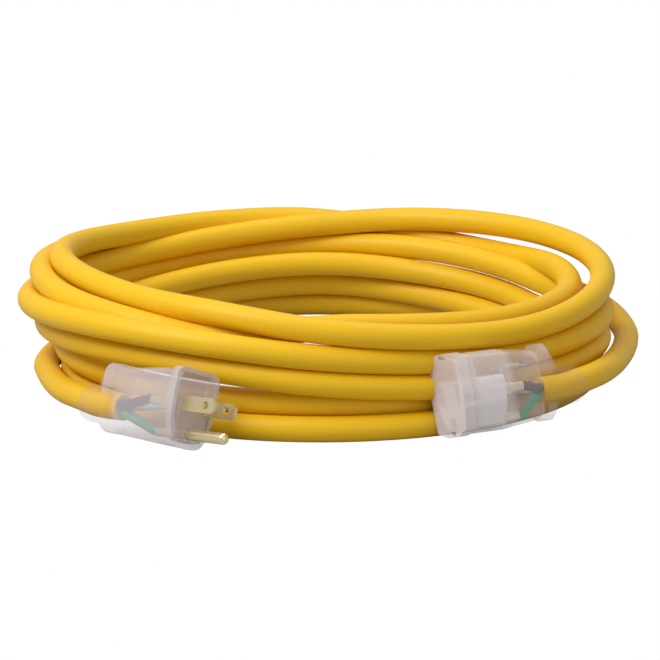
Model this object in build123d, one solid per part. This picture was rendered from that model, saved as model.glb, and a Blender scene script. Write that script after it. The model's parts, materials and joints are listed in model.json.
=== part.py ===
from build123d import *
import math
import os

# Three-wire extension cord, wound into a round coil that lies flat. Millimetres, +Z up, resting on Z = 0.
# The origin is under the middle of the whole object, and -Y is the side where both ends lie.

# ---- driving dimensions -------------------------------------------------------------------------
cord_diameter = 10.8
coil_centre = Vector(-4.2, 5.3, 0)      # the coil's middle, seen from the origin

# coil: outline in plan, counter-clockwise from +X in even steps, as radii from the coil's middle
coil_outer_radii = (126, 129, 132, 133, 133.5, 134, 132.5, 127, 122, 122, 115, 120)
coil_inner_radii = (103, 105, 109, 111, 110, 107, 104, 102, 100, 99, 96, 98)
coil_left_height = 57.5
coil_right_height = 50.5
coil_rounding = 4.5

# North American 15 A three-wire pattern
blade_width = 6.35
blade_thickness = 1.52
blade_spacing = 12.7
blade_reach = 17.2
blade_tip_bevel = 1.5
blade_hole = 3.2
blade_hole_setback = 4.8
pin_diameter = 4.76
pin_reach = 21.0
pin_tip_rounding = 2.2
pin_neck = 0.3                          # bare tail between the plug's face and the full diameter
pin_drop = 11.9                         # ground pin below the blades' centre line
blade_tail = 11.0                       # buried length of blades and pin

# wires, and the barrels that join them to blades, pin and contacts
wire_diameter = 3.9
copper_diameter = 2.9
crimp_diameter = 4.3
crimp_length = 6.0
crimp_lap = 1.2                         # copper stops this far inside the barrel
wire_ring = 2.42                        # wire centres from the cord's axis
wire_bend = 2.6
wire_lean = 70                          # upper two wires, from straight up

# plug, distances run back from its face
plug_face = Vector(-51.3, -137.5, 20.0)
plug_heading = -41.0
plug_pitch = 4.2
plug_roll = 21.0
plug_cord_drop = 4.2                    # cord's axis below the blades' centre line
plug_head_length = 16.0
plug_waist_depth = 28.0
plug_flange_depth = 38.0
plug_back = 45.0
plug_jacket_depth = 38.5
hood_wall = 2.2
hood_recess = 5.5
boss_width = 17.0
boss_top = 4.8
boss_bottom = 15.0

# connector, distances run back from the rim of its hood
connector_face = Vector(51.6, -123.0, 20.5)
connector_heading = 210.0
connector_pitch = 0.5
connector_roll = -17.0
connector_cord_drop = 2.5
hood_lip = 5.0
hood_step = 0.6
block_depth = 1.2
block_back = 22.0
block_gap_depth = 9.0
connector_body_depth = 40.0
connector_ear_depth = 43.0
connector_back = 48.0
connector_jacket_depth = 44.0
slot_height = 7.6
slot_width = 2.1
contact_front = 6.0
contact_back = 20.0
tail_back = 26.0
tail_height = 5.0
tail_thickness = 1.0
leaf_thickness = 0.7
ground_hole_diameter = 5.4

# pilot lamp in the connector
lamp_diameter = 4.0
lamp_length = 9.0
resistor_diameter = 2.4
resistor_length = 6.5
lead_diameter = 0.6
lamp_rise = 8.6
lamp_side = 2.8
lamp_depth = 27.5

# strain relief at the back of each end, bent where the cord pulls it
relief_radius = 8.0
relief_rounding = 2.4
relief_bend = 34.0
plug_relief_turn = 24.0
connector_relief_turn = 27.0

# the two stretches outside the coil, from the coil's middle, starting after the strain relief
plug_lead_route = [
    (-100.9, -84.1, 10.7),
    (-108.3, -66.0, 8.6),
    (-113.8, -44.5, 6.8),
    (-118.2, -21.0, 5.7),
    (-120.3, 2.0, 5.5),
]
connector_lead_route = [
    (113.9, -75.6, 17.3),
    (122.4, -52.5, 15.6),
    (129.0, -21.5, 12.8),
    (134.0, 8.0, 11.4),
    (136.3, 36.0, 11.2),
    (130.5, 64.0, 14.5),
    (114.5, 89.5, 18.5),
    (93.0, 111.0, 22.0),
    (67.5, 127.0, 26.0),
    (39.0, 137.0, 30.0),
    (9.5, 140.5, 33.5),
    (-19.5, 138.0, 36.5),
    (-47.0, 129.0, 39.0),
    (-71.0, 112.0, 41.0),
    (-90.0, 89.5, 42.5),
]

parts = {}


# ---- helpers ------------------------------------------------------------------------------------
def end_plane(face, heading, pitch, roll):
    """Plane at an end's face: X across it, Y up it, Z out of it."""
    turn, lift, lean = (math.radians(angle) for angle in (heading, pitch, roll))
    out = Vector(math.cos(lift) * math.cos(turn), math.cos(lift) * math.sin(turn), math.sin(lift))
    level = Vector(-math.sin(turn), math.cos(turn), 0)
    across = level * math.cos(lean) - out.cross(level) * math.sin(lean)
    return Plane(origin=face + coil_centre, x_dir=across, z_dir=out)


def rod(start, end, diameter):
    """Round bar between two points."""
    start, end = Vector(*start), Vector(*end)
    section = Plane(origin=start, z_dir=end - start) * Circle(diameter / 2)
    return extrude(section, amount=(end - start).length)


def slab(depth_front, depth_back, outline):
    """Prism of an outline between two depths behind an end's face."""
    return Pos(0, 0, -depth_back) * extrude(outline, amount=depth_back - depth_front)


def bend_end(drop, back, turn, roll, side):
    """Where a strain relief's axis ends, and its direction there, in the end's own axes."""
    lean, angle = math.radians(roll), math.radians(turn)
    level = Vector(math.cos(lean), math.sin(lean), 0) * side
    swing = relief_bend * (1 - math.cos(angle))
    point = Vector(0, -drop, -back) + level * swing + Vector(0, 0, -relief_bend * math.sin(angle))
    return point, level * math.sin(angle) + Vector(0, 0, -math.cos(angle))


def bent_bar(diameter, drop, front, back, turn, roll, side):
    """Round bar that runs straight from front to back, then follows the strain relief's bend."""
    start, corner = Vector(0, -drop, -front), Vector(0, -drop, -back)
    end, _ = bend_end(drop, back, turn, roll, side)
    bend = TangentArc(corner, end, tangent=(0, 0, -1))
    path = bend if front >= back else Line(start, corner) + bend
    section = Plane(origin=start, z_dir=(0, 0, -1)) * Circle(diameter / 2)
    return sweep(section, path=path)


def strain_relief(drop, back, turn, roll, side):
    """Round collar along the bend, with a rounded end."""
    collar = bent_bar(2 * relief_radius, drop, back, back, turn, roll, side)
    end, _ = bend_end(drop, back, turn, roll, side)
    rims = collar.edges().filter_by(lambda edge: edge.is_closed)
    far_rim = min(rims, key=lambda rim: (rim.arc_center - end).length)
    return fillet(far_rim, radius=relief_rounding)


def cord_tube(points, name):
    """Cord of straight runs and tangent arcs, each arc as large as its two runs allow."""
    points = [Vector(*point) for point in points]
    runs = [b - a for a, b in zip(points, points[1:])]
    radii = []
    for before, after in zip(runs, runs[1:]):
        half_turn = math.radians(before.get_angle(after)) / 2
        radii.append(0.45 * min(before.length, after.length) / math.tan(half_turn))
    path = FilletPolyline(*points, radius=radii)
    section = Plane(origin=points[0], z_dir=runs[0]) * Circle(cord_diameter / 2)
    tube = sweep(section, path=path)
    share = tube.volume / (math.pi * cord_diameter**2 / 4 * path.length)
    print(name, "radii", [round(r) for r in radii], "length", round(path.length, 1))
    print(name, "volume share", round(share, 4))
    return tube


def ring_outline(radii):
    """Closed smooth outline in plan through evenly spaced radii."""
    step = 2 * math.pi / len(radii)
    points = [(r * math.cos(k * step), r * math.sin(k * step)) for k, r in enumerate(radii)]
    return make_face(Spline(*points, periodic=True))


# ---- coil ---------------------------------------------------------------------------------------
def make_coil():
    ring = extrude(ring_outline(coil_outer_radii), amount=coil_left_height)
    ring -= extrude(ring_outline(coil_inner_radii), amount=coil_left_height)
    width = 2 * max(coil_outer_radii)
    slope = math.degrees(math.atan((coil_left_height - coil_right_height) / width))
    lid = Box(2 * width, 2 * width, coil_left_height, align=(Align.CENTER, Align.CENTER, Align.MIN))
    ring -= Pos(0, 0, (coil_left_height + coil_right_height) / 2) * Rot(0, slope, 0) * lid
    edges = ring.edges().filter_by(lambda edge: edge.length > width)
    return Location(coil_centre) * fillet(edges, radius=coil_rounding)


# ---- plug ---------------------------------------------------------------------------------------
def shield(width, top, bottom, foot, corner):
    """Upright outline, flat on top and narrower at its foot."""
    half, knee = width / 2, -bottom * 0.35
    right = [(half, top), (half, knee), (foot / 2, -bottom)]
    left = [(-x, y) for x, y in reversed(right)]
    outline = make_face(Polyline(*right, *left, close=True))
    return fillet(outline.vertices(), radius=corner)


def make_blade():
    """Flat blade with a hole and a bevelled tip, standing along Z."""
    flat = extrude(Rectangle(blade_thickness, blade_width), amount=blade_reach + blade_tail)
    tip = flat.edges().filter_by(Axis.X).group_by(Axis.Z)[-1]
    flat = chamfer(tip, length=blade_tip_bevel)
    hole_height = blade_tail + blade_reach - blade_hole_setback
    hole = Pos(0, 0, hole_height) * Rot(0, 90, 0) * Cylinder(blade_hole / 2, 3 * blade_thickness)
    return Pos(0, 0, -blade_tail) * (flat - hole)


def make_pin():
    """Round pin with a rounded tip, on a thinner tail."""
    pin = extrude(Circle(pin_diameter / 2), amount=pin_reach - pin_neck)
    tip = pin.edges().filter_by(GeomType.CIRCLE).sort_by(Axis.Z)[-1]
    tail = extrude(Circle(crimp_diameter / 2), amount=blade_tail + pin_neck)
    return Pos(0, 0, pin_neck) * fillet(tip, radius=pin_tip_rounding) + Pos(0, 0, -blade_tail) * tail


def crimp_set(place, front, jacket_depth, drop, ring_angle):
    """Barrel, copper and insulated wire from one terminal to the end of the cord's jacket."""
    x, y = place
    barrel_back = front + crimp_length
    copper_front = front + crimp_lap
    angle = math.radians(ring_angle)
    root = (wire_ring * math.cos(angle), -drop + wire_ring * math.sin(angle), -jacket_depth)
    barrel = rod((x, y, -front), (x, y, -barrel_back), crimp_diameter)
    copper = rod((x, y, -copper_front), (x, y, -barrel_back), copper_diameter)
    knee = (x, y, -barrel_back - 2.0)
    ankle = (root[0], root[1], -jacket_depth + 2.0)
    path = FilletPolyline((x, y, -barrel_back), knee, ankle, root, radius=wire_bend)
    section = Plane(origin=(x, y, -barrel_back), z_dir=(0, 0, -1)) * Circle(wire_diameter / 2)
    wire = sweep(section, path=path)
    return {"crimp": barrel - copper, "copper": copper, "wire": wire}


def wiring(end, line_side, front, jacket_depth, drop):
    """Crimp barrels, copper and insulated wires of one end; line_side is the line terminal's X."""
    lean = math.copysign(wire_lean, -line_side)
    terminals = (
        ("line", "black", (line_side, 0), 90 + lean),
        ("neutral", "white", (-line_side, 0), 90 - lean),
        ("ground", "green", (0, -pin_drop), 270),
    )
    found = {}
    for terminal, colour, place, angle in terminals:
        pieces = crimp_set(place, front, jacket_depth, drop, angle)
        found[f"{end}_{terminal}_crimp"] = pieces["crimp"]
        found[f"{end}_{terminal}_copper"] = pieces["copper"]
        found[f"{end}_{colour}_wire"] = pieces["wire"]
    return found


def make_plug():
    head = shield(26, 14.8, 17.8, 17, 4.5)
    neck = shield(24.6, 13.8, 17.0, 16.5, 4.5)
    waist = shield(20, 12.0, 15.6, 14, 4.5)
    flange = shield(18, 12.8, 15.3, 13, 5.0)
    body = slab(0, plug_head_length, head)
    body = fillet(body.edges().group_by(Axis.Z)[0], radius=1.0)
    sections = [Pos(0, 0, -depth) * outline for depth, outline in (
        (plug_head_length, neck), (plug_waist_depth, waist), (plug_flange_depth, flange))]
    body += loft(sections)
    rear = slab(plug_flange_depth, plug_back, shield(19.5, 13.2, 15.3, 14, 5.5))
    rear = chamfer(rear.edges().group_by(Axis.Z)[0], length=1.6)
    body += rear
    body += strain_relief(plug_cord_drop, plug_back, plug_relief_turn, plug_roll, 1)

    recess = shield(26 - 2 * hood_wall, 14.8 - hood_wall, 17.8 - hood_wall, 17 - 2 * hood_wall, 3.0)
    boss_height = boss_top + boss_bottom
    boss = Pos(0, (boss_top - boss_bottom) / 2) * RectangleRounded(boss_width, boss_height, 3.5)
    body -= slab(0, hood_recess, recess - boss)

    jacket = bent_bar(
        cord_diameter, plug_cord_drop, plug_jacket_depth, plug_back, plug_relief_turn, plug_roll, 1)
    half = blade_spacing / 2
    found = {
        "plug_jacket_end": jacket,
        "line_blade": Pos(-half, 0, 0) * make_blade(),
        "neutral_blade": Pos(half, 0, 0) * make_blade(),
        "ground_pin": Pos(0, -pin_drop, 0) * make_pin(),
    }
    found |= wiring("plug", -half, blade_tail, plug_jacket_depth, plug_cord_drop)
    for piece in found.values():
        body -= piece
    found["plug_body"] = body
    return found


# ---- connector ----------------------------------------------------------------------------------
def facets(middle, corner, high, flat):
    """Ten-sided upright outline whose long sides are ridged at mid height."""
    right = [(flat, high), (corner, high - 2.1), (middle, 0), (corner, 2.3 - high), (flat, -high)]
    left = [(-x, y) for x, y in reversed(right)]
    return make_face(Polyline(*right, *left, close=True))


def softened(outline, corner):
    return fillet(outline.vertices(), radius=corner)


def make_blade_contact():
    """Two leaves with a gap for the blade, joined at the back by a tail."""
    width = slot_width + 2 * leaf_thickness
    leaves = slab(contact_front, contact_back, Rectangle(width, slot_height))
    leaves -= slab(contact_front, contact_back - leaf_thickness, Rectangle(slot_width, slot_height))
    return leaves + slab(contact_back, tail_back, Rectangle(tail_thickness, tail_height))


def make_ground_contact():
    """Sleeve for the ground pin, with a tail."""
    hole = Circle(ground_hole_diameter / 2)
    sleeve = slab(contact_front, contact_back, Circle(ground_hole_diameter / 2 + leaf_thickness))
    sleeve -= slab(contact_front, contact_back - leaf_thickness, hole)
    return sleeve + slab(contact_back, tail_back, Rectangle(tail_thickness, tail_height))


def make_lamp_leads():
    """Lamp to neutral, lamp to resistor, and resistor to line."""
    half = blade_spacing / 2
    lamp_end, resistor_end = lamp_depth + lamp_length, lamp_depth + resistor_length
    drop_depth, turn_depth = 24.0, lamp_end + 2.0
    routes = [
        [(side * lamp_side, lamp_rise, -lamp_depth), (side * lamp_side, lamp_rise, -drop_depth),
         (side * half, lamp_rise - 1, -drop_depth), (side * half, tail_height / 2, -drop_depth)]
        for side in (-1, 1)]
    routes.append([(-lamp_side, lamp_rise, -lamp_end), (-lamp_side, lamp_rise, -turn_depth),
                   (lamp_side, lamp_rise, -turn_depth), (lamp_side, lamp_rise, -resistor_end)])
    leads = []
    for route in routes:
        path = FilletPolyline(*route, radius=1.0)
        start, heading = Vector(*route[0]), Vector(*route[1]) - Vector(*route[0])
        section = Plane(origin=start, z_dir=heading) * Circle(lead_diameter / 2)
        leads.append(sweep(section, path=path))
    return Compound(leads)


def make_connector():
    hood = facets(13.2, 11.4, 17.2, 4.0)
    shell = facets(13.2 - hood_step, 11.4 - hood_step, 17.2 - hood_step, 4.0)
    rear = facets(10.6, 9.2, 14.6, 3.6)
    body = slab(0, hood_lip, softened(hood, 0.8)) + slab(hood_lip, block_back, softened(shell, 0.8))
    ends = [Pos(0, 0, -depth) * softened(outline, 0.8) for depth, outline in (
        (block_back, shell), (connector_body_depth, rear))]
    body += loft(ends)
    body += slab(connector_body_depth, connector_back, RectangleRounded(17, 24, 6))
    ears = slab(connector_ear_depth, connector_back, Pos(0, 0.6) * RectangleRounded(13, 32.5, 5.5))
    body += chamfer(ears.edges().group_by(Axis.Z)[0], length=1.8)
    turn, roll = connector_relief_turn, connector_roll
    body += strain_relief(connector_cord_drop, connector_back, turn, roll, -1)

    block_outline = shield(21, 6.0, 15.4, 9, 2.5)
    cavity = facets(13.2 - hood_wall, 11.4 - hood_wall, 17.2 - hood_wall, 3.2)
    body -= slab(0, block_gap_depth, softened(cavity, 0.8) - block_outline)
    body -= slab(0, block_depth, block_outline)
    block = slab(block_depth, block_back, block_outline)

    half = blade_spacing / 2
    found = {
        "line_contact": Pos(half, 0, 0) * make_blade_contact(),
        "neutral_contact": Pos(-half, 0, 0) * make_blade_contact(),
        "ground_contact": Pos(0, -pin_drop, 0) * make_ground_contact(),
    }
    slot = Rectangle(slot_width, slot_height)
    ground_hole = Circle(ground_hole_diameter / 2)
    for hole in (Pos(-half, 0) * slot, Pos(half, 0) * slot, Pos(0, -pin_drop) * ground_hole):
        block -= slab(block_depth, contact_back - leaf_thickness, hole)
    for contact in found.values():
        block -= contact
    found["contact_block"] = block
    found["connector_jacket_end"] = bent_bar(
        cord_diameter, connector_cord_drop, connector_jacket_depth, connector_back, turn, roll, -1)
    found |= wiring("connector", half, tail_back, connector_jacket_depth, connector_cord_drop)
    lamp = Pos(-lamp_side, lamp_rise) * Circle(lamp_diameter / 2)
    resistor = Pos(lamp_side, lamp_rise) * Circle(resistor_diameter / 2)
    lamp = slab(lamp_depth, lamp_depth + lamp_length, lamp)
    found["pilot_lamp"] = fillet(lamp.edges().filter_by(GeomType.CIRCLE), radius=1.2)
    found["lamp_resistor"] = slab(lamp_depth, lamp_depth + resistor_length, resistor)
    found["lamp_leads"] = make_lamp_leads()
    body -= slab(block_depth, block_back, block_outline)
    for name, piece in found.items():
        if name != "contact_block":
            body -= piece
    found["connector_body"] = body
    return found


# ---- whole object -------------------------------------------------------------------------------
def main():
    os.makedirs("parts", exist_ok=True)
    coil = make_coil()
    ends = (
        ("plug", make_plug(), plug_face, plug_heading, plug_pitch, plug_roll,
         plug_cord_drop, plug_back, plug_relief_turn, 1, plug_lead_route),
        ("connector", make_connector(), connector_face, connector_heading, connector_pitch, connector_roll,
         connector_cord_drop, connector_back, connector_relief_turn, -1, connector_lead_route),
    )
    for name, pieces, face, heading, pitch, roll, drop, back, turn, side, route in ends:
        place = end_plane(face, heading, pitch, roll)
        for node, piece in pieces.items():
            parts[node] = place * piece
        corner, _ = bend_end(drop, back, turn, roll, side)
        start = place.from_local_coords(corner)
        points = [start] + [Vector(*point) + coil_centre for point in route]
        print(name, "cord leaves at", [round(value, 2) for value in start])
        lead = cord_tube(points, f"{name}_lead")
        parts[f"{name}_lead"] = lead
        coil -= lead
    parts["cord_coil"] = coil
    for node, piece in parts.items():
        export_step(piece, f"parts/{node}.step")
    box = Compound(list(parts.values())).bounding_box()
    print("nodes", len(parts), "box", box)


main()
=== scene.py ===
import json
import math
import bpy
import bmesh
from mathutils import Matrix, Vector


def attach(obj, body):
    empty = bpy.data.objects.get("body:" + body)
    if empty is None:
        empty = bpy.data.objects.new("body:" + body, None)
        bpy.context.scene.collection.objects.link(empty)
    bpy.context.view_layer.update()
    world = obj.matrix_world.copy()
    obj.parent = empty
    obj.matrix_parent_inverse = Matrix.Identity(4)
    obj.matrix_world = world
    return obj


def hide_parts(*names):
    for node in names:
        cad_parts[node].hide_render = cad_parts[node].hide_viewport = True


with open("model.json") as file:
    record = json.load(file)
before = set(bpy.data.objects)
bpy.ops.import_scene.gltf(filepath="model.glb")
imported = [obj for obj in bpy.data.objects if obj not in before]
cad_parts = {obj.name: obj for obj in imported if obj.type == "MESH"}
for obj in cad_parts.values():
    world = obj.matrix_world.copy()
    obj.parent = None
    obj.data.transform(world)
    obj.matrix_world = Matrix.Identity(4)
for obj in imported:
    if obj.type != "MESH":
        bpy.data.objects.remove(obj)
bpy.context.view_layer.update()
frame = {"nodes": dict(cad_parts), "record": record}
scene = bpy.context.scene
nodes = frame["nodes"]
mounts = {mount["name"]: mount for mount in frame["record"]["mounts"]}
mm = 0.001
print("loaded", len(nodes), "nodes")


class Wire:                                  # one output socket, with arithmetic
    def __init__(self, paint, socket):
        self.paint = paint
        self.socket = socket

    def maths(self, operation, *values):
        return self.paint.node("ShaderNodeMath", {"operation": operation}, *values)

    def __add__(self, other):
        return self.maths("ADD", self, other)

    def __radd__(self, other):
        return self.maths("ADD", other, self)

    def __sub__(self, other):
        return self.maths("SUBTRACT", self, other)

    def __rsub__(self, other):
        return self.maths("SUBTRACT", other, self)

    def __mul__(self, other):
        return self.maths("MULTIPLY", self, other)

    def __rmul__(self, other):
        return self.maths("MULTIPLY", other, self)


class Paint:                                 # a material under construction
    def __init__(self, name):
        self.material = bpy.data.materials.new(name)
        self.material.use_nodes = True
        self.tree = self.material.node_tree
        self.tree.nodes.clear()
        self.where = self.node("ShaderNodeTexCoord", {}, output=3)     # Object coordinates

    def node(self, kind, settings, *values, output=0, **named):
        made = self.tree.nodes.new(kind)
        for key, value in settings.items():
            setattr(made, key, value)
        for index, value in enumerate(values):
            self.plug(made.inputs[index], value)
        for key, value in named.items():
            self.plug(made.inputs[key.replace("_", " ")], value)
        return Wire(self, made.outputs[output])

    def plug(self, socket, value):
        if isinstance(value, Wire):
            self.tree.links.new(value.socket, socket)
        elif value is not None:
            socket.default_value = value

    def noise(self, scale, detail=3.0):
        return self.node("ShaderNodeTexNoise", {}, Vector=self.where, Scale=scale, Detail=detail)

    def blend(self, mask, low, high):            # a Mix node's colours are its seventh and eighth sockets
        settings = {"data_type": "RGBA", "clamp_factor": True}
        return self.node("ShaderNodeMix", settings, mask, *[None] * 5, low, high, output=2)

    def vector(self, operation, *values, output=0):
        return self.node("ShaderNodeVectorMath", {"operation": operation}, *values, output=output)

    def ramp(self, value, start, end):           # 0 at start, 1 at end
        return self.node("ShaderNodeMapRange", {"clamp": True}, value, From_Min=start, From_Max=end)

    def finish(self, shader):
        out = self.tree.nodes.new("ShaderNodeOutputMaterial")
        self.tree.links.new(shader.socket, out.inputs["Surface"])
        return self.material


# Colour runs from light to deep in patches, roughness rises by uneven in smears,
# and grain or strands raise the surface.
fine = {"patches": 200.0, "uneven": 0.12, "smears": 400.0, "grain": 1000.0, "relief": 0.12,
        "rise": 0.0002}
milky = {"patches": 70.0, "rough": 0.20, "uneven": 0.08, "smears": 150.0, "grain": 240.0, "relief": 0.10,
         "rise": 0.0006, "shader": {"IOR": 1.45, "Coat Weight": 0.3, "Coat Roughness": 0.12}}
finishes = {
    "cord_jacket": {
        "light": (0.86, 0.515, 0.010, 1), "deep": (0.81, 0.475, 0.008, 1), "patches": 28.0, "detail": 2.0,
        "rough": 0.42, "uneven": 0.10, "smears": 90.0, "grain": 900.0, "relief": 0.12, "rise": 0.0003,
        "shader": {"Coat Weight": 0.03, "Coat Roughness": 0.3, "Specular IOR Level": 0.26},
    },
    "bright_brass": {
        "light": (1.0, 0.88, 0.56, 1), "deep": (0.93, 0.78, 0.44, 1), "patches": 160.0,
        "rough": 0.22, "uneven": 0.14, "smears": 320.0, "grain": 1400.0, "relief": 0.10, "rise": 0.0001,
        "shader": {"Metallic": 1.0},
    },
    "bare_copper": {
        "light": (0.86, 0.48, 0.28, 1), "deep": (0.66, 0.32, 0.17, 1), "patches": 300.0,
        "rough": 0.26, "uneven": 0.10, "smears": 600.0, "strands": 1900.0, "relief": 0.6, "rise": 0.0003,
        "shader": {"Metallic": 1.0},
    },
    "white_block": {**fine, "light": (0.97, 0.95, 0.91, 1), "deep": (0.92, 0.90, 0.86, 1), "rough": 0.42},
    "black_insulation": {**fine, "light": (0.012, 0.012, 0.013, 1), "deep": (0.03, 0.03, 0.032, 1),
                        "rough": 0.30},
    "white_insulation": {**fine, "light": (0.82, 0.82, 0.80, 1), "deep": (0.72, 0.72, 0.70, 1),
                        "rough": 0.34},
    "green_insulation": {**fine, "light": (0.02, 0.42, 0.20, 1), "deep": (0.015, 0.33, 0.16, 1),
                        "rough": 0.32},
    "lamp_glass": {**fine, "light": (0.92, 0.88, 0.84, 1), "deep": (0.88, 0.82, 0.76, 1), "rough": 0.05,
                   "shader": {"Transmission Weight": 0.9}},
    "resistor_body": {**fine, "light": (0.62, 0.50, 0.32, 1), "deep": (0.54, 0.42, 0.26, 1),
                      "rough": 0.38},
    "tinned_wire": {**fine, "light": (0.75, 0.75, 0.76, 1), "deep": (0.66, 0.66, 0.68, 1), "rough": 0.25,
                    "shader": {"Metallic": 1.0}},
    "plug_vinyl": {**milky, "light": (0.82, 0.75, 0.75, 1), "deep": (0.74, 0.68, 0.70, 1),
                   "cloud": 0.48, "jacketFrom": 0.038, "clearing": 0.0},
    "connector_vinyl": {**milky, "light": (0.97, 0.90, 0.90, 1), "deep": (0.90, 0.83, 0.85, 1),
                        "cloud": 0.54, "jacketFrom": 0.040, "clearing": 0.5},
    "paper": {"light": (0.42, 0.42, 0.42, 1), "deep": (0.40, 0.40, 0.40, 1), "patches": 3.0,
              "rough": 0.6, "uneven": 0.1, "smears": 40.0},
}


def surface(name):
    f = finishes[name]
    paint = Paint(name)
    colour = paint.blend(paint.noise(f["patches"], f.get("detail", 3.0)), f["light"], f["deep"])
    roughness = f["rough"] + f["uneven"] * paint.noise(f["smears"])
    height = normal = None
    if "grain" in f:
        height = paint.noise(f["grain"], 2.0)
    if "strands" in f:
        height = paint.node("ShaderNodeTexVoronoi", {}, Vector=paint.where, Scale=f["strands"])
    if height:
        normal = paint.node("ShaderNodeBump", {}, Strength=f["relief"], Distance=f["rise"], Height=height)
    shader = paint.node("ShaderNodeBsdfPrincipled", {}, Base_Color=colour, Roughness=roughness,
                        Normal=normal, **f.get("shader", {}))
    return paint, shader


def solidFinish(name):
    paint, shader = surface(name)
    return paint.finish(shader)


# Cloudy vinyl lets more through where its wall over the jacket is thin, and behind the connector's block.
vinylWall = {"thin": 0.0095, "thick": 0.0122, "gain": 0.8, "haze": 60.0, "drift": 0.10,
             "clearFrom": 0.022, "clearBy": 0.026, "body": (0.96, 0.95, 0.95, 1)}


def clearFinish(name, near, along):
    f, wall = finishes[name], vinylWall
    paint, shader = surface(name)
    aside = paint.vector("SUBTRACT", paint.where, near)
    reach = paint.vector("LENGTH", paint.vector("CROSS_PRODUCT", aside, along), output=1)
    behind = paint.vector("DOT_PRODUCT", aside, along, output=1)
    start = f["jacketFrom"]
    over = paint.ramp(reach, wall["thick"], wall["thin"]) * paint.ramp(behind, start - 4 * mm, start + mm)
    rear = paint.ramp(behind, wall["clearFrom"], wall["clearBy"]) * f["clearing"]
    haze = f["cloud"] - wall["drift"] * paint.noise(wall["haze"])
    cloud = haze * (1 - wall["gain"] * over) * (1 - rear)
    body = paint.node("ShaderNodeBsdfTransparent", {}, Color=wall["body"])
    return paint.finish(paint.node("ShaderNodeMixShader", {}, cloud, body, shader))


def paperFinish():                           # white to the camera, dull to what lies on it
    paint, shader = surface("paper")
    glow = paint.node("ShaderNodeEmission", {}, (1, 1, 1, 1), 1.0)
    seen = paint.node("ShaderNodeLightPath", {}, output=0)
    return paint.finish(paint.node("ShaderNodeMixShader", {}, seen, shader, glow))


def endPlace(left, right, ahead):            # X across, Y up, Z out of the face, in mm
    a, b = Vector(mounts[left]["pos_m"]), Vector(mounts[right]["pos_m"])
    out = Vector(mounts[left]["axis"]).normalized()
    across = (b - a).normalized()
    up = out.cross(across)
    middle = (a + b) / 2 + out * ahead * mm
    turn = Matrix((across, up, out)).transposed().to_4x4()
    return Matrix.Translation(middle) @ turn @ Matrix.Scale(mm, 4)


def cordAxis(left, right, drop):             # a point on an end's cord line, and the way to the cord
    place = endPlace(left, right, 0)
    return place @ Vector((0, -drop, 0)), place.to_3x3() @ Vector((0, 0, -1 / mm))


print("making finishes")
nodeFinish = {                               # what a node's name ends in, and its finish
    "jacket_end": "cord_jacket", "blade": "bright_brass", "pin": "bright_brass",
    "contact": "bright_brass", "crimp": "bright_brass", "copper": "bare_copper",
    "contact_block": "white_block",
    "black_wire": "black_insulation", "white_wire": "white_insulation", "green_wire": "green_insulation",
    "pilot_lamp": "lamp_glass", "resistor": "resistor_body", "lamp_leads": "tinned_wire",
}
solids = {name: solidFinish(name) for name in dict.fromkeys(nodeFinish.values())}
plugVinyl = clearFinish("plug_vinyl", *cordAxis("line_blade", "neutral_blade", 4.2))
connectorVinyl = clearFinish("connector_vinyl", *cordAxis("neutral_slot", "line_slot", 2.5))
for name, node in nodes.items():
    found = [solids[finish] for ending, finish in nodeFinish.items() if name.endswith(ending)]
    for slot in node.material_slots:
        if found:
            slot.material = found[-1]


cordCoil = {
    "centre": (-0.0042, 0.0053),
    "perTurn": 16,
    # each turn's radius and height in mm as it passes left, left back, back, right back,
    # then right, right front, front and left front
    "turns": [
        [(119.3, 5.6), (118.3, 5.6), (117.5, 5.6), (118, 5.6),
         (117.5, 5.6), (118, 5.6), (119.8, 5.6), (114.5, 5.6)],
        [(108, 5.7), (108, 11), (114, 16.7), (108, 10.7),
         (109, 13.3), (109, 11.5), (112.8, 14.6), (112, 16.5)],
        [(111.8, 17), (107, 21.9), (105, 27.6), (110.5, 21.5),
         (122, 20.6), (118, 17.8), (119.3, 24.7), (120.5, 31.4)],
        [(119.8, 25.5), (120.5, 26.2), (119, 33.1), (110.5, 33),
         (123.7, 31.7), (116.5, 28.4), (119, 35.4), (127, 42.6)],
        [(127, 36), (118, 36.1), (115.5, 43.5), (124, 48.2),
         (122.8, 45.3), (119, 38.9), (117, 46), (107, 51)],
        [(113.4, 53), (120.3, 45.5), (126.2, 44.2), (121.3, 34.5),
         (108.5, 38.5), (101, 40), (102, 45.3), (117.5, 44.5)],
    ],
    "last": [(121.8, 47.5), (128, 42)],
    # the same between those places, where turns cross, by turn and sixteenth of it
    "crossings": {
        (1, 5): (111.5, 13.8), (2, 5): (108.5, 24.7), (3, 5): (111.5, 35.4), (4, 5): (119, 47.4),
        (5, 5): (122.5, 37), (1, 7): (106.5, 7), (2, 7): (110, 16.5), (3, 7): (113.8, 27.9),
        (5, 7): (112.6, 39.4), (0, 13): (119.6, 5.6), (1, 13): (113.2, 15), (2, 13): (120, 29.4),
        (3, 13): (123.5, 40.8), (4, 13): (112.5, 51.4), (5, 13): (111.5, 39.2),
    },
}
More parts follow.
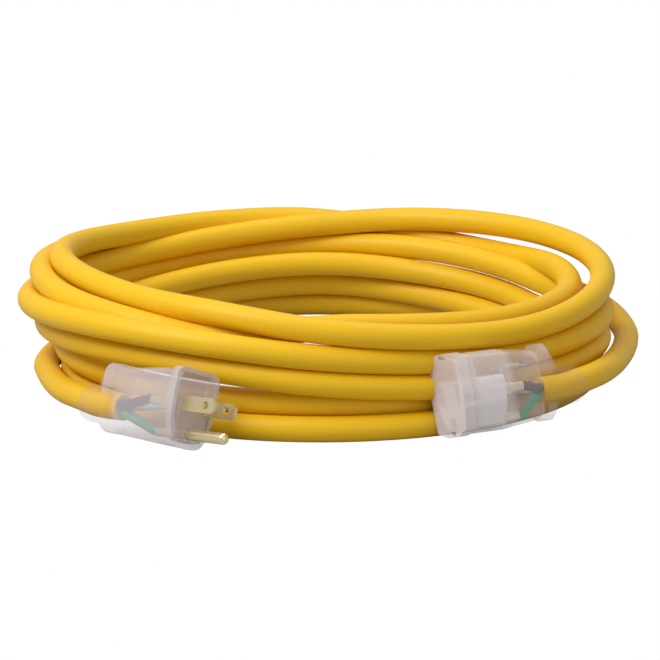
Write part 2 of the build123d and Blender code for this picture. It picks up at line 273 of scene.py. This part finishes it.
# from the strain reliefs to the coil, in metres from the coil's middle
plugLeadRoute = [
    (-0.1009, -0.0841, 0.0107), (-0.1083, -0.0660, 0.0086), (-0.1138, -0.0445, 0.0068),
    (-0.1182, -0.0210, 0.0057),
]
connectorLeadRoute = [
    (0.1139, -0.0756, 0.0173), (0.1224, -0.0525, 0.0156), (0.1290, -0.0215, 0.0128),
    (0.1340, 0.0080, 0.0114), (0.1363, 0.0360, 0.0112), (0.1305, 0.0640, 0.0145),
    (0.1145, 0.0895, 0.0185), (0.0930, 0.1110, 0.0220), (0.0675, 0.1270, 0.0260),
    (0.0390, 0.1370, 0.0300), (0.0095, 0.1405, 0.0335), (-0.0195, 0.1380, 0.0365),
    (-0.0470, 0.1290, 0.0390), (-0.0710, 0.1120, 0.0410),
]
plugExit = (-0.09862, -0.09281, 0.01178)
connectorExit = (0.10083, -0.08342, 0.01756)


def coilTurns(c):
    stations = [station for turn in c["turns"] for station in turn] + c["last"]
    between = []
    for i, here in enumerate(stations[:-1]):
        before, after = stations[max(i - 1, 0)], stations[i + 1]
        later = stations[min(i + 2, len(stations) - 1)]
        between.append([(9 * (here[k] + after[k]) - before[k] - later[k]) / 16 for k in (0, 1)])
    both = [value for pair in zip(stations, between) for value in pair] + [stations[-1]]
    for (turn, step), place in c["crossings"].items():
        both[turn * c["perTurn"] + step] = place
    swell = 8 / (6 + 2 * math.cos(2 * math.pi / c["perTurn"]))     # the spline runs inside its points
    points = []
    for i, (radius, height) in enumerate(both):
        angle = 2 * math.pi * i / c["perTurn"]
        reach = radius * swell / 1000
        points.append((-reach * math.cos(angle), reach * math.sin(angle), height / 1000))
    return points


def cordRoute():
    x, y = cordCoil["centre"]
    inner = plugLeadRoute + coilTurns(cordCoil) + connectorLeadRoute[::-1]
    return [plugExit] + [(a + x, b + y, c) for a, b, c in inner] + [connectorExit]


cordFacts = {"diameter": 0.0108, "length": 5.00, "resolution": 8, "roundness": 10}


def makeCord(facts):
    curve = bpy.data.curves.new("cord", "CURVE")
    curve.dimensions = "3D"
    curve.bevel_depth = facts["diameter"] / 2
    curve.bevel_resolution = facts["roundness"]
    curve.resolution_u = facts["resolution"]
    curve.use_fill_caps = True
    points = cordRoute()
    spline = curve.splines.new("NURBS")
    spline.points.add(len(points) - 1)
    for point, place in zip(spline.points, points):
        point.co = (*place, 1)
    spline.order_u = 3
    spline.use_endpoint_u = True
    cord = bpy.data.objects.new("cord", curve)
    scene.collection.objects.link(cord)
    curve.materials.append(solids["cord_jacket"])
    return cord


cord = makeCord(cordFacts)
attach(cord, "root")
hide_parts("cord_coil", "plug_lead", "connector_lead")
print("cord wound")


def rounded(corners, rounding, steps):       # closed outline with its corners rounded
    shape = bmesh.new()
    shape.faces.new([shape.verts.new((x, y, 0)) for x, y in corners])
    bmesh.ops.bevel(shape, geom=shape.verts[:], offset=rounding, offset_type="OFFSET", segments=steps,
                    profile=0.5, affect="VERTICES", clamp_overlap=True, material=-1)
    shape.faces.ensure_lookup_table()
    points = [corner.co.copy() for corner in shape.faces[0].verts]
    shape.free()
    return fromTopRight(points)


def fromTopRight(points):                    # every outline starts alike, so that rings join straight
    first = max(range(len(points)), key=lambda i: points[i].x + points[i].y)
    return points[first:] + points[:first]


def mirrored(right):
    return right + [(-x, y) for x, y in reversed(right)]


def shieldOutline(width, top, bottom, foot, rounding=4.5, steps=5):
    half, knee = width / 2, -0.35 * bottom   # the sides lean in below the knee
    return rounded(mirrored([(half, top), (half, knee), (foot / 2, -bottom)]), rounding, steps)


def facetOutline(middle, corner, high, flat, rounding=0.8, steps=3):
    shoulder, hip = high - 2.1, 2.3 - high
    right = [(flat, high), (corner, shoulder), (middle, 0), (corner, hip), (flat, -high)]
    return rounded(mirrored(right), rounding, steps)


def discOutline(count):
    shape = bmesh.new()
    bmesh.ops.create_circle(shape, segments=count, radius=1.0)
    points = [corner.co.copy() for corner in shape.verts]
    shape.free()
    points.sort(key=lambda p: -math.atan2(p.y, p.x))
    return fromTopRight(points)


def reliefRings(r, count):                   # rings along the bent collar, with a rounded end
    lean, full = math.radians(r["roll"]), math.radians(r["turn"])
    level = Vector((math.cos(lean), math.sin(lean), 0)) * r["side"]
    rings = []
    for step in range(1, r["steps"] + 1):
        angle = full * step / r["steps"]
        centre = Vector((0, -r["drop"], -r["back"])) + level * r["bend"] * (1 - math.cos(angle))
        centre.z -= r["bend"] * math.sin(angle)
        ahead = level * math.sin(angle) - Vector((0, 0, math.cos(angle)))
        turn = Vector((0, 0, -1)).rotation_difference(ahead).to_matrix()
        if step <= r["straightSteps"]:
            rings.append((centre, turn, r["radius"]))
    for step in range(r["tipSteps"] + 1):    # quarter round at the tip
        angle = math.pi / 2 * step / r["tipSteps"]
        inset = r["tip"] * (1 - math.cos(angle))
        rings.append((centre - ahead * r["tip"] * (1 - math.sin(angle)), turn, r["radius"] - inset))
    disc = discOutline(count)
    return [[centre + turn @ (point * radius) for point in disc] for centre, turn, radius in rings]


creaseAngle = math.radians(32)


def skin(name, rings, place, finish, soften):
    bm = bmesh.new()
    loops = []
    for ring in rings:
        corners = [bm.verts.new(place @ point) for point in ring]
        loops.append([bm.edges.new(pair) for pair in zip(corners, corners[1:] + corners[:1])])
    for near, far in zip(loops, loops[1:]):
        bmesh.ops.bridge_loops(bm, edges=near + far)
    for end in (loops[0], loops[-1]):
        bmesh.ops.edgeloop_fill(bm, edges=end)
    bmesh.ops.recalc_face_normals(bm, faces=bm.faces[:])
    mesh = bpy.data.meshes.new(name)
    bm.to_mesh(mesh)
    bm.free()
    for face in mesh.polygons:
        face.use_smooth = True
    mesh.set_sharp_from_angle(angle=creaseAngle)
    mesh.materials.append(finish)
    made = bpy.data.objects.new(name, mesh)
    scene.collection.objects.link(made)
    edge = made.modifiers.new("soft edges", "BEVEL")
    edge.width = soften * mm
    edge.segments = 3
    edge.limit_method = "ANGLE"
    edge.angle_limit = creaseAngle
    edge.harden_normals = True
    return made


def at(outline, depth):
    return [Vector((point.x, point.y, -depth)) for point in outline]


reliefShape = {"bend": 34.0, "radius": 8.0, "tip": 2.4, "steps": 5, "straightSteps": 3, "tipSteps": 5}
plugShape = {                                # in mm, X across, Y up, depth back from the hood's rim
    "boss": [(8.5, 4.8), (8.5, -5.0), (8.5, -15.0)], "bossRounding": 2.8, "recess": 5.5,
    "head": (26, 14.8, 17.8, 17), "wall": 2.2, "innerRounding": 3.0, "rimDepth": 3.8,
    # depth, then width, top, bottom and foot of the outline there
    "waist": [
        (5.2, (25.0, 13.9, 17.4, 16.6)), (12.0, (24.2, 13.5, 17.2, 16.3)),
        (19.0, (23.0, 13.0, 16.8, 15.6)), (26.0, (21.2, 12.4, 16.3, 14.8)),
        (32.0, (19.6, 12.2, 15.8, 14)), (38.0, (18.6, 12.6, 15.4, 13.4)),
    ],
    "flange": (19.5, 13.2, 15.3, 14, 4.8), "flangeFrom": 38.8, "flangeTo": 43.6,
    "back": (17.0, 12.2, 14.2, 12, 4.4),
    "relief": {**reliefShape, "drop": 4.2, "back": 45.0, "turn": 24.0, "roll": 21.0, "side": 1},
    "soften": 0.5,
}


def makePlug(s):
    width, top, bottom, foot = s["head"]
    wall = s["wall"]
    boss = rounded(mirrored(s["boss"]), s["bossRounding"], 5)
    inner = shieldOutline(width - 2 * wall, top - wall, bottom - wall, foot - 2 * wall,
                          s["innerRounding"])
    head = shieldOutline(*s["head"])
    flange = shieldOutline(*s["flange"])
    rings = [at(boss, 0), at(boss, s["recess"]), at(inner, s["recess"]), at(inner, 0)]
    rings += [at(head, 0), at(head, s["rimDepth"])]
    rings += [at(shieldOutline(*sizes), depth) for depth, sizes in s["waist"]]
    rings += [at(flange, s["flangeFrom"]), at(flange, s["flangeTo"])]
    rings += [at(shieldOutline(*s["back"]), s["relief"]["back"])] + reliefRings(s["relief"], len(head))
    place = endPlace("line_blade", "neutral_blade", 0)
    return skin("plug_shell", rings, place, plugVinyl, s["soften"])


connectorShape = {                           # in mm, X across, Y up, depth back from the hood's rim
    "lip": (13.2, 11.4, 17.2, 4.0), "step": 0.6, "wall": 2.2, "cavityFlat": 3.2, "cavityDepth": 9.0,
    "lipDepth": 5.0, "stepDepth": 5.5, "hoodDepth": 22.0, "faceDepth": 1.2,
    "tail": [(31.5, (11.3, 9.7, 15.5, 3.8)), (39.6, (10.6, 9.2, 14.6, 3.6))],
    "neck": [(4.0, 11.8), (8.0, 9.4), (8.5, 0), (8.0, -9.4), (4.0, -11.8)],
    "neckFrom": 40.2, "neckTo": 43.0,
    "ears": [(4.5, 16.6), (8.2, 12.2), (8.5, 0), (8.2, -11.2), (4.5, -15.4)],
    "earsFrom": 43.4, "earsTo": 46.4, "earRounding": 1.6, "backShare": 0.88,
    "relief": {**reliefShape, "drop": 2.5, "back": 48.0, "turn": 27.0, "roll": -17.0, "side": -1},
    "soften": 0.35,
}


def makeConnector(s):
    middle, corner, high, flat = s["lip"]
    step, wall = s["step"], s["wall"]
    lip = facetOutline(*s["lip"])
    shell = facetOutline(middle - step, corner - step, high - step, flat)
    cavity = facetOutline(middle - wall, corner - wall, high - wall, s["cavityFlat"])
    ears = rounded(mirrored(s["ears"]), s["earRounding"], 3)
    neck = rounded(mirrored(s["neck"]), s["earRounding"], 3)
    rings = [at(cavity, s["cavityDepth"]), at(cavity, 0), at(lip, 0), at(lip, s["lipDepth"])]
    rings += [at(shell, s["stepDepth"]), at(shell, s["hoodDepth"])]
    rings += [at(facetOutline(*sizes), depth) for depth, sizes in s["tail"]]
    rings += [at(neck, s["neckFrom"]), at(neck, s["neckTo"])]
    rings += [at(ears, s["earsFrom"]), at(ears, s["earsTo"])]
    rings += [at([point * s["backShare"] for point in ears], s["relief"]["back"])]
    rings += reliefRings(s["relief"], len(lip))
    place = endPlace("neutral_slot", "line_slot", s["faceDepth"])
    return skin("connector_shell", rings, place, connectorVinyl, s["soften"])


plugShell = makePlug(plugShape)
connectorShell = makeConnector(connectorShape)
for shell, node in ((plugShell, "plug_body"), (connectorShell, "connector_body")):
    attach(shell, "root")
    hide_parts(node)
print("ends moulded")

connectorPieces = [name for name in nodes
                   if name.startswith("connector_") and not name.endswith(("lead", "body"))]
connectorPieces += ["contact_block", "line_contact", "neutral_contact", "ground_contact", "pilot_lamp",
                    "lamp_resistor", "lamp_leads"]


stageFacts = {
    "floor": 6.0, "world": 0.46,
    # place in metres, power in watts and width in metres
    "lights": {"key": ((-1.1, -0.7, 1.5), 27.0, 1.0), "fill": ((0.9, -1.6, 0.7), 3.0, 1.2),
               "top": ((0.1, 0.5, 1.8), 8.0, 1.2)},
    "lightAim": (0, 0, 0.02),
}


def makeFloor(size):
    bm = bmesh.new()
    bmesh.ops.create_grid(bm, x_segments=1, y_segments=1, size=size)
    mesh = bpy.data.meshes.new("floor")
    bm.to_mesh(mesh)
    bm.free()
    mesh.materials.append(paperFinish())
    floor = bpy.data.objects.new("floor", mesh)
    scene.collection.objects.link(floor)


def makeLight(name, place, power, size):
    lamp = bpy.data.lights.new(name, "AREA")
    lamp.energy = power
    lamp.size = size
    light = bpy.data.objects.new(name, lamp)
    light.location = place
    way = Vector(stageFacts["lightAim"]) - Vector(place)
    light.rotation_euler = way.to_track_quat("-Z", "Y").to_euler()
    scene.collection.objects.link(light)


makeFloor(stageFacts["floor"])
world = bpy.data.worlds.new("studio")
scene.world = world
world.use_nodes = True
sky = world.node_tree.nodes["Background"].inputs
sky["Color"].default_value = (1, 1, 1, 1)
sky["Strength"].default_value = stageFacts["world"]
for name, facts in stageFacts["lights"].items():
    makeLight(name, *facts)

cameraFacts = {"aim": (-0.0005, 0.0053, 0.0198), "elevation": 13.0, "distance": 1.7955, "lens": 223.6}


def makeCamera(c):
    camera = bpy.data.objects.new("camera", bpy.data.cameras.new("camera"))
    camera.data.lens = c["lens"]
    camera.data.sensor_width = 36.0
    tilt = math.radians(c["elevation"])
    camera.location = Vector(c["aim"]) + c["distance"] * Vector((0, -math.cos(tilt), math.sin(tilt)))
    camera.rotation_euler = (math.pi / 2 - tilt, 0, 0)
    scene.collection.objects.link(camera)
    scene.camera = camera


makeCamera(cameraFacts)
scene.view_settings.view_transform = "Standard"
print("stage set")
